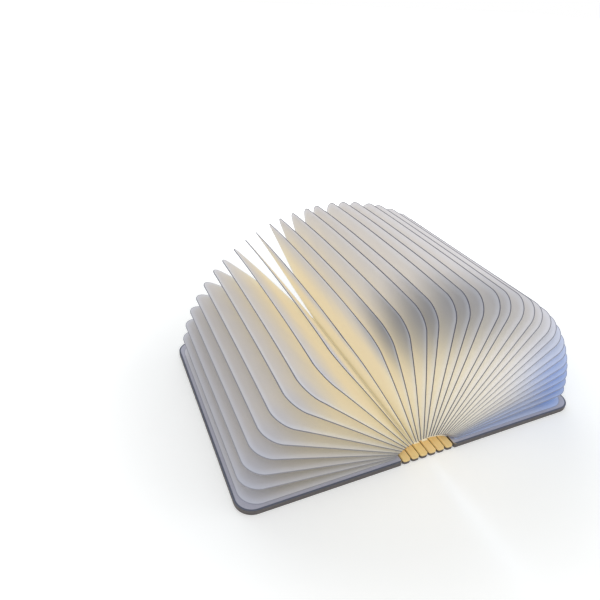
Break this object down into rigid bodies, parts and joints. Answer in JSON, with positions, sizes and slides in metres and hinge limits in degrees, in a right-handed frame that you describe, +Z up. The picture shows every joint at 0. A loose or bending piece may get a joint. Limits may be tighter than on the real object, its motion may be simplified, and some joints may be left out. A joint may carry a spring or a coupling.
{
  "type": "folding book lamp",
  "caption": "Lamp in the form of a small book: wooden covers on a slatted folding spine, with an accordion of paper leaves that fans out and glows when it is opened.",
  "frame": {"origin": "on the table under the middle of the spine, halfway between tail and head edge, with the lamp open flat", "axes": "+X from the front cover to the back cover, +Y from the tail edge to the head edge, +Z up from the table through the fan of leaves"},
  "size_m": [0.1836, 0.122, 0.0836],
  "materials": {
    "walnut": "satin",
    "dark_board": "matte",
    "slat_wood": "satin",
    "hinge_cloth": "matte",
    "page": "matte",
    "magnet": "satin",
    "battery_foil": "satin",
    "circuit_board": "satin",
    "socket_metal": "satin",
    "light_strip": "matte"
  },
  "bodies": {
    "back_cover": {"back_board": "dark_board", "back_veneer": "walnut", "back_cloth": "hinge_cloth", "back_end_page": "page", "back_magnets": "magnet", "battery": "battery_foil", "charging_board": "circuit_board", "charging_socket": "socket_metal"},
    "slat_1": {"slat_1": "slat_wood", "slat_cloth_1": "hinge_cloth"},
    "slat_2": {"slat_2": "slat_wood", "slat_cloth_2": "hinge_cloth"},
    "slat_3": {"slat_3": "slat_wood", "slat_cloth_3": "hinge_cloth", "light_strip_3": "light_strip"},
    "slat_4": {"slat_4": "slat_wood", "slat_cloth_4": "hinge_cloth", "light_strip_4": "light_strip"},
    "slat_5": {"slat_5": "slat_wood", "slat_cloth_5": "hinge_cloth"},
    "slat_6": {"slat_6": "slat_wood", "slat_cloth_6": "hinge_cloth"},
    "front_cover": {"front_board": "dark_board", "front_veneer": "walnut", "front_cloth": "hinge_cloth", "front_end_page": "page", "front_magnets": "magnet"},
    "leaf_01": {"leaf_01": "page"},
    "leaf_02": {"leaf_02": "page"},
    "leaf_03": {"leaf_03": "page"},
    "leaf_04": {"leaf_04": "page"},
    "leaf_05": {"leaf_05": "page"},
    "leaf_06": {"leaf_06": "page"},
    "leaf_07": {"leaf_07": "page"},
    "leaf_08": {"leaf_08": "page"},
    "leaf_09": {"leaf_09": "page"},
    "leaf_10": {"leaf_10": "page"},
    "leaf_11": {"leaf_11": "page"},
    "leaf_12": {"leaf_12": "page"},
    "leaf_13": {"leaf_13": "page"},
    "leaf_14": {"leaf_14": "page"},
    "leaf_15": {"leaf_15": "page"},
    "leaf_16": {"leaf_16": "page"},
    "leaf_17": {"leaf_17": "page"},
    "leaf_18": {"leaf_18": "page"},
    "leaf_19": {"leaf_19": "page"},
    "leaf_20": {"leaf_20": "page"},
    "leaf_21": {"leaf_21": "page"},
    "leaf_22": {"leaf_22": "page"},
    "leaf_23": {"leaf_23": "page"},
    "leaf_24": {"leaf_24": "page"},
    "leaf_25": {"leaf_25": "page"},
    "leaf_26": {"leaf_26": "page"},
    "leaf_27": {"leaf_27": "page"},
    "leaf_28": {"leaf_28": "page"},
    "leaf_29": {"leaf_29": "page"},
    "leaf_30": {"leaf_30": "page"},
    "leaf_31": {"leaf_31": "page"},
    "leaf_32": {"leaf_32": "page"},
    "leaf_33": {"leaf_33": "page"}
  },
  "joints": [
    {"name": "leaf_01_turn", "type": "hinge", "parent": "back_cover", "child": "leaf_01", "pos_m": [0.01425, 0, 0.0013], "axis": [0, 1, 0], "range_deg": [-6.03, 6.03]},
    {"name": "leaf_02_turn", "type": "hinge", "parent": "leaf_01", "child": "leaf_02", "pos_m": [0.01425, 0, 0.0013], "axis": [0, 1, 0], "range_deg": [-3.97, 3.97]},
    {"name": "leaf_03_turn", "type": "hinge", "parent": "leaf_02", "child": "leaf_03", "pos_m": [0.01425, 0, 0.0013], "axis": [0, 1, 0], "range_deg": [-4.23, 4.23]},
    {"name": "leaf_04_turn", "type": "hinge", "parent": "leaf_03", "child": "leaf_04", "pos_m": [0.01425, 0, 0.0013], "axis": [0, 1, 0], "range_deg": [-4.07, 4.07]},
    {"name": "leaf_05_turn", "type": "hinge", "parent": "leaf_04", "child": "leaf_05", "pos_m": [0.01425, 0, 0.0013], "axis": [0, 1, 0], "range_deg": [-4.25, 4.25]},
    {"name": "leaf_06_turn", "type": "hinge", "parent": "leaf_05", "child": "leaf_06", "pos_m": [0.0127, 0, 0.0013], "axis": [0, 1, 0], "range_deg": [-4.92, 4.92]},
    {"name": "leaf_07_turn", "type": "hinge", "parent": "leaf_06", "child": "leaf_07", "pos_m": [0.0095, 0, 0.0013], "axis": [0, 1, 0], "range_deg": [-4.16, 4.16]},
    {"name": "leaf_08_turn", "type": "hinge", "parent": "leaf_07", "child": "leaf_08", "pos_m": [0.0095, 0, 0.0013], "axis": [0, 1, 0], "range_deg": [-5.36, 5.36]},
    {"name": "leaf_09_turn", "type": "hinge", "parent": "leaf_08", "child": "leaf_09", "pos_m": [0.0095, 0, 0.0013], "axis": [0, 1, 0], "range_deg": [-5.15, 5.15]},
    {"name": "leaf_10_turn", "type": "hinge", "parent": "leaf_09", "child": "leaf_10", "pos_m": [0.0095, 0, 0.0013], "axis": [0, 1, 0], "range_deg": [-4.7, 4.7]},
    {"name": "leaf_11_turn", "type": "hinge", "parent": "leaf_10", "child": "leaf_11", "pos_m": [0.00841, 0, 0.0013], "axis": [0, 1, 0], "range_deg": [-6.31, 6.31]},
    {"name": "leaf_12_turn", "type": "hinge", "parent": "leaf_11", "child": "leaf_12", "pos_m": [0.00475, 0, 0.0013], "axis": [0, 1, 0], "range_deg": [-4.76, 4.76]},
    {"name": "leaf_13_turn", "type": "hinge", "parent": "leaf_12", "child": "leaf_13", "pos_m": [0.00475, 0, 0.0013], "axis": [0, 1, 0], "range_deg": [-5.69, 5.69]},
    {"name": "leaf_14_turn", "type": "hinge", "parent": "leaf_13", "child": "leaf_14", "pos_m": [0.00475, 0, 0.0013], "axis": [0, 1, 0], "range_deg": [-6.12, 6.12]},
    {"name": "leaf_15_turn", "type": "hinge", "parent": "leaf_14", "child": "leaf_15", "pos_m": [0.00475, 0, 0.0013], "axis": [0, 1, 0], "range_deg": [-4.43, 4.43]},
    {"name": "leaf_16_turn", "type": "hinge", "parent": "leaf_15", "child": "leaf_16", "pos_m": [0.00253, 0, 0.0013], "axis": [0, 1, 0], "range_deg": [-6.37, 6.37]},
    {"name": "fold", "type": "hinge", "parent": "leaf_16", "child": "leaf_17", "pos_m": [0, 0, 0.0013], "axis": [0, 1, 0], "range_deg": [-4.91, 4.91]},
    {"name": "leaf_18_turn", "type": "hinge", "parent": "leaf_17", "child": "leaf_18", "pos_m": [0, 0, 0.0013], "axis": [0, 1, 0], "range_deg": [-4.74, 4.74]},
    {"name": "leaf_19_turn", "type": "hinge", "parent": "leaf_18", "child": "leaf_19", "pos_m": [0, 0, 0.0013], "axis": [0, 1, 0], "range_deg": [-6.1, 6.1]},
    {"name": "leaf_20_turn", "type": "hinge", "parent": "leaf_19", "child": "leaf_20", "pos_m": [0, 0, 0.0013], "axis": [0, 1, 0], "range_deg": [-3.97, 3.97]},
    {"name": "leaf_21_turn", "type": "hinge", "parent": "leaf_20", "child": "leaf_21", "pos_m": [-0.00205, 0, 0.0013], "axis": [0, 1, 0], "range_deg": [-5.47, 5.47]},
    {"name": "leaf_22_turn", "type": "hinge", "parent": "leaf_21", "child": "leaf_22", "pos_m": [-0.00475, 0, 0.0013], "axis": [0, 1, 0], "range_deg": [-5.17, 5.17]},
    {"name": "leaf_23_turn", "type": "hinge", "parent": "leaf_22", "child": "leaf_23", "pos_m": [-0.00475, 0, 0.0013], "axis": [0, 1, 0], "range_deg": [-4.2, 4.2]},
    {"name": "leaf_24_turn", "type": "hinge", "parent": "leaf_23", "child": "leaf_24", "pos_m": [-0.00475, 0, 0.0013], "axis": [0, 1, 0], "range_deg": [-5.96, 5.96]},
    {"name": "leaf_25_turn", "type": "hinge", "parent": "leaf_24", "child": "leaf_25", "pos_m": [-0.00475, 0, 0.0013], "axis": [0, 1, 0], "range_deg": [-4.67, 4.67]},
    {"name": "leaf_26_turn", "type": "hinge", "parent": "leaf_25", "child": "leaf_26", "pos_m": [-0.0064, 0, 0.0013], "axis": [0, 1, 0], "range_deg": [-5.34, 5.34]},
    {"name": "leaf_27_turn", "type": "hinge", "parent": "leaf_26", "child": "leaf_27", "pos_m": [-0.0095, 0, 0.0013], "axis": [0, 1, 0], "range_deg": [-6.03, 6.03]},
    {"name": "leaf_28_turn", "type": "hinge", "parent": "leaf_27", "child": "leaf_28", "pos_m": [-0.0095, 0, 0.0013], "axis": [0, 1, 0], "range_deg": [-5.19, 5.19]},
    {"name": "leaf_29_turn", "type": "hinge", "parent": "leaf_28", "child": "leaf_29", "pos_m": [-0.0095, 0, 0.0013], "axis": [0, 1, 0], "range_deg": [-6.34, 6.34]},
    {"name": "leaf_30_turn", "type": "hinge", "parent": "leaf_29", "child": "leaf_30", "pos_m": [-0.0095, 0, 0.0013], "axis": [0, 1, 0], "range_deg": [-6.08, 6.08]},
    {"name": "leaf_31_turn", "type": "hinge", "parent": "leaf_30", "child": "leaf_31", "pos_m": [-0.01399, 0, 0.0013], "axis": [0, 1, 0], "range_deg": [-6.16, 6.16]},
    {"name": "leaf_32_turn", "type": "hinge", "parent": "leaf_31", "child": "leaf_32", "pos_m": [-0.01425, 0, 0.0013], "axis": [0, 1, 0], "range_deg": [-6.56, 6.56]},
    {"name": "leaf_33_turn", "type": "hinge", "parent": "leaf_32", "child": "leaf_33", "pos_m": [-0.01425, 0, 0.0013], "axis": [0, 1, 0], "range_deg": [-6.4, 6.4]},
    {"name": "front_cover_turn", "type": "hinge", "parent": "leaf_33", "child": "front_cover", "pos_m": [-0.01425, 0, 0.0013], "axis": [0, 1, 0], "range_deg": [-7.03, 7.03]},
    {"name": "slat_hinge_1", "type": "hinge", "parent": "back_cover", "child": "slat_1", "pos_m": [0.01425, 0, 0.0013], "axis": [0, 1, 0], "range_deg": [-25.76, 25.76]},
    {"name": "slat_hinge_2", "type": "hinge", "parent": "slat_1", "child": "slat_2", "pos_m": [0.0095, 0, 0.0013], "axis": [0, 1, 0], "range_deg": [-25.76, 25.76]},
    {"name": "slat_hinge_3", "type": "hinge", "parent": "slat_2", "child": "slat_3", "pos_m": [0.00475, 0, 0.0013], "axis": [0, 1, 0], "range_deg": [-25.76, 25.76]},
    {"name": "slat_hinge_7", "type": "hinge", "parent": "front_cover", "child": "slat_6", "pos_m": [-0.01425, 0, 0.0013], "axis": [0, -1, 0], "range_deg": [-25.76, 25.76]},
    {"name": "slat_hinge_6", "type": "hinge", "parent": "slat_6", "child": "slat_5", "pos_m": [-0.0095, 0, 0.0013], "axis": [0, -1, 0], "range_deg": [-25.76, 25.76]},
    {"name": "slat_hinge_5", "type": "hinge", "parent": "slat_5", "child": "slat_4", "pos_m": [-0.00475, 0, 0.0013], "axis": [0, -1, 0], "range_deg": [-25.76, 25.76]}
  ],
  "couplings": [
    {"joint": "leaf_01_turn", "follows": "fold", "ratio": 1.2213},
    {"joint": "leaf_02_turn", "follows": "fold", "ratio": 0.80247},
    {"joint": "leaf_03_turn", "follows": "fold", "ratio": 0.85666},
    {"joint": "leaf_04_turn", "follows": "fold", "ratio": 0.8227},
    {"joint": "leaf_05_turn", "follows": "fold", "ratio": 0.85969},
    {"joint": "leaf_06_turn", "follows": "fold", "ratio": 0.99652},
    {"joint": "leaf_07_turn", "follows": "fold", "ratio": 0.84093},
    {"joint": "leaf_08_turn", "follows": "fold", "ratio": 1.085},
    {"joint": "leaf_09_turn", "follows": "fold", "ratio": 1.0435},
    {"joint": "leaf_10_turn", "follows": "fold", "ratio": 0.9526},
    {"joint": "leaf_11_turn", "follows": "fold", "ratio": 1.2798},
    {"joint": "leaf_12_turn", "follows": "fold", "ratio": 0.96388},
    {"joint": "leaf_13_turn", "follows": "fold", "ratio": 1.1525},
    {"joint": "leaf_14_turn", "follows": "fold", "ratio": 1.2407},
    {"joint": "leaf_15_turn", "follows": "fold", "ratio": 0.89656},
    {"joint": "leaf_16_turn", "follows": "fold", "ratio": 1.2915},
    {"joint": "leaf_18_turn", "follows": "fold", "ratio": 0.96045},
    {"joint": "leaf_19_turn", "follows": "fold", "ratio": 1.2355},
    {"joint": "leaf_20_turn", "follows": "fold", "ratio": 0.80414},
    {"joint": "leaf_21_turn", "follows": "fold", "ratio": 1.1084},
    {"joint": "leaf_22_turn", "follows": "fold", "ratio": 1.0482},
    {"joint": "leaf_23_turn", "follows": "fold", "ratio": 0.84919},
    {"joint": "leaf_24_turn", "follows": "fold", "ratio": 1.2081},
    {"joint": "leaf_25_turn", "follows": "fold", "ratio": 0.94522},
    {"joint": "leaf_26_turn", "follows": "fold", "ratio": 1.0812},
    {"joint": "leaf_27_turn", "follows": "fold", "ratio": 1.2213},
    {"joint": "leaf_28_turn", "follows": "fold", "ratio": 1.051},
    {"joint": "leaf_29_turn", "follows": "fold", "ratio": 1.2846},
    {"joint": "leaf_30_turn", "follows": "fold", "ratio": 1.2331},
    {"joint": "leaf_31_turn", "follows": "fold", "ratio": 1.2477},
    {"joint": "leaf_32_turn", "follows": "fold", "ratio": 1.3305},
    {"joint": "leaf_33_turn", "follows": "fold", "ratio": 1.2983},
    {"joint": "front_cover_turn", "follows": "fold", "ratio": 1.4248},
    {"joint": "slat_hinge_1", "follows": "fold", "ratio": 5.234},
    {"joint": "slat_hinge_2", "follows": "fold", "ratio": 5.234},
    {"joint": "slat_hinge_3", "follows": "fold", "ratio": 5.234},
    {"joint": "slat_hinge_7", "follows": "fold", "ratio": 5.234},
    {"joint": "slat_hinge_6", "follows": "fold", "ratio": 5.234},
    {"joint": "slat_hinge_5", "follows": "fold", "ratio": 5.234}
  ]
}
